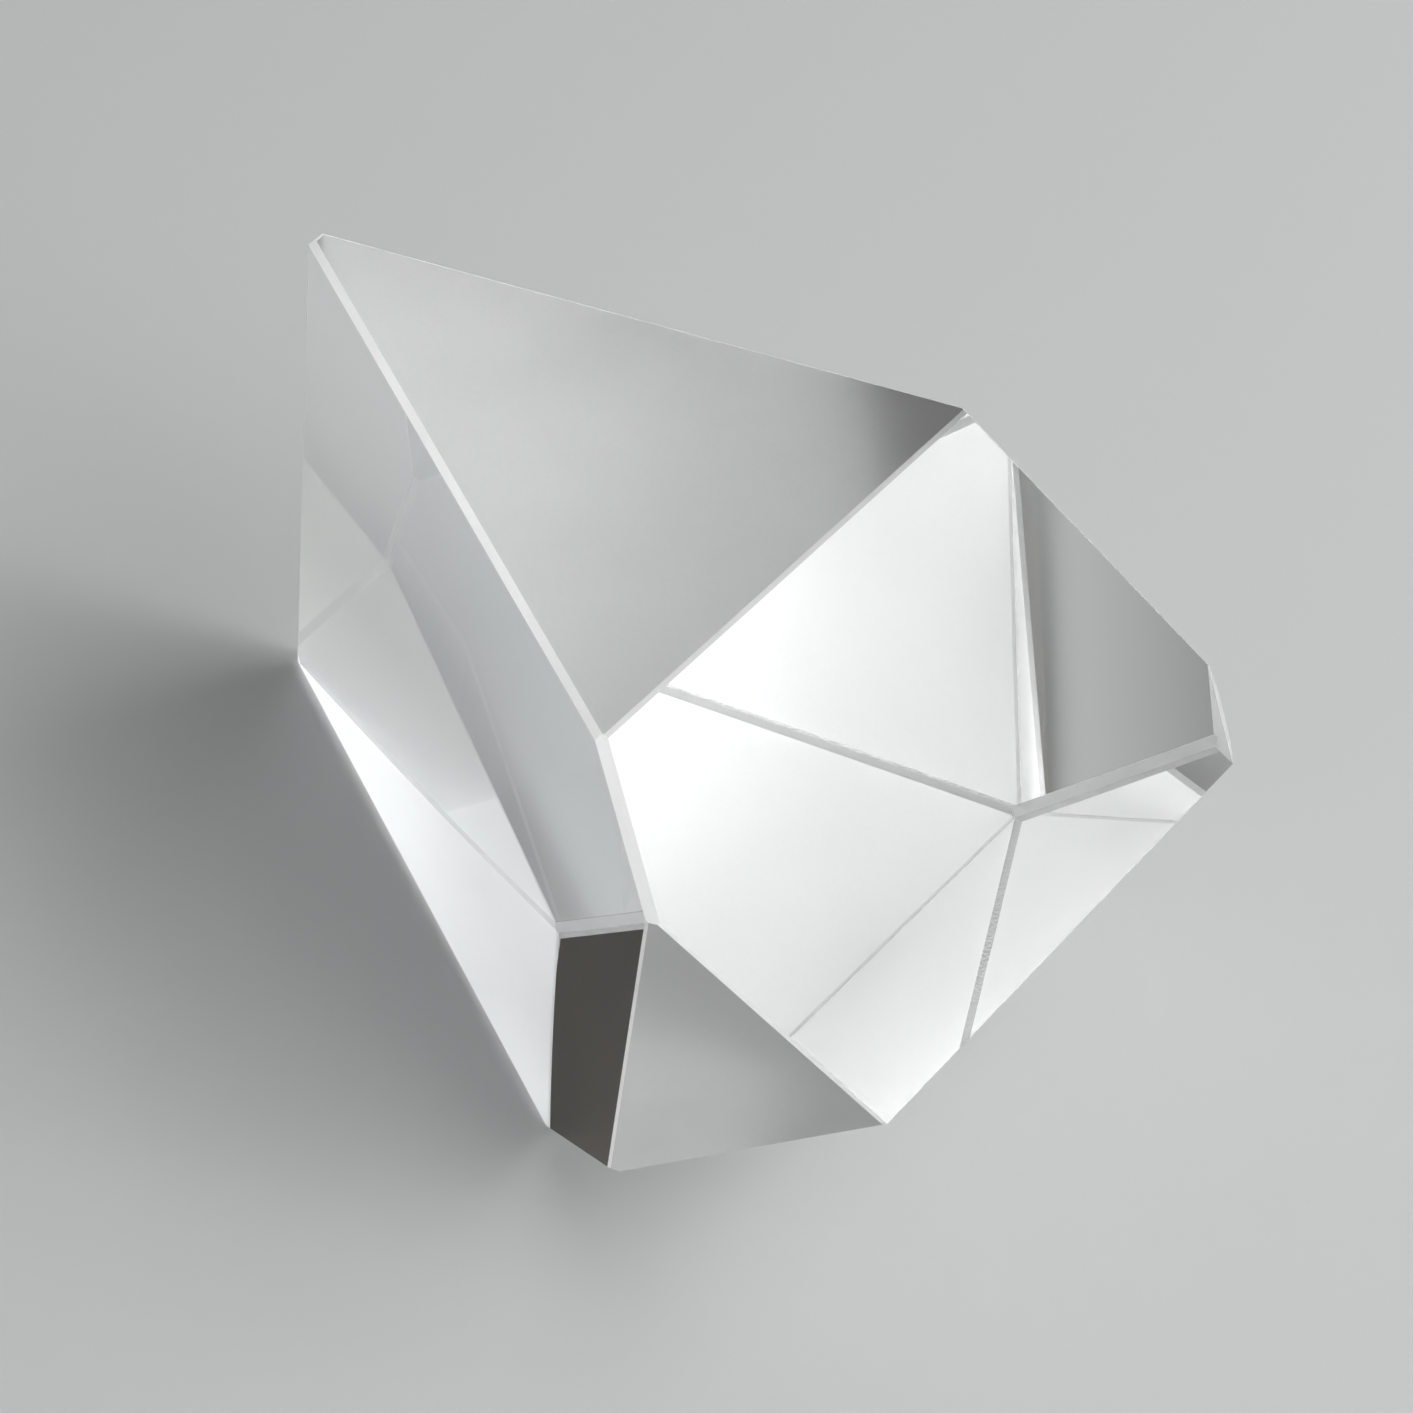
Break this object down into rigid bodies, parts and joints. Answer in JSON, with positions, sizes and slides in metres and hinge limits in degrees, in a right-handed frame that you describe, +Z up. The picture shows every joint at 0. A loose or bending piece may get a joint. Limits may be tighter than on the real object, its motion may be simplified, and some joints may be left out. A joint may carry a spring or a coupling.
{
  "type": "roof prism",
  "caption": "Glass roof prism: polished windows set in a wedge lead to a right-angled roof with a sharp ridge, which folds the light path and turns the image over.",
  "frame": {"origin": "centre of the bounding box's bottom, in the plane of the ground side face that the prism rests on", "axes": "+X from the apex to the ridge, square to the ridge; +Y along the ridge, from the exit window's side to the entrance window's side; +Z up, from the side face it rests on to the other side face"},
  "size_m": [0.0206, 0.0158, 0.015],
  "materials": {
    "optical_glass": "polished windows and roof faces; fine-ground side faces, corner flats and bevels"
  },
  "bodies": {
    "root": {"roof_prism": "optical_glass"}
  },
  "joints": []
}
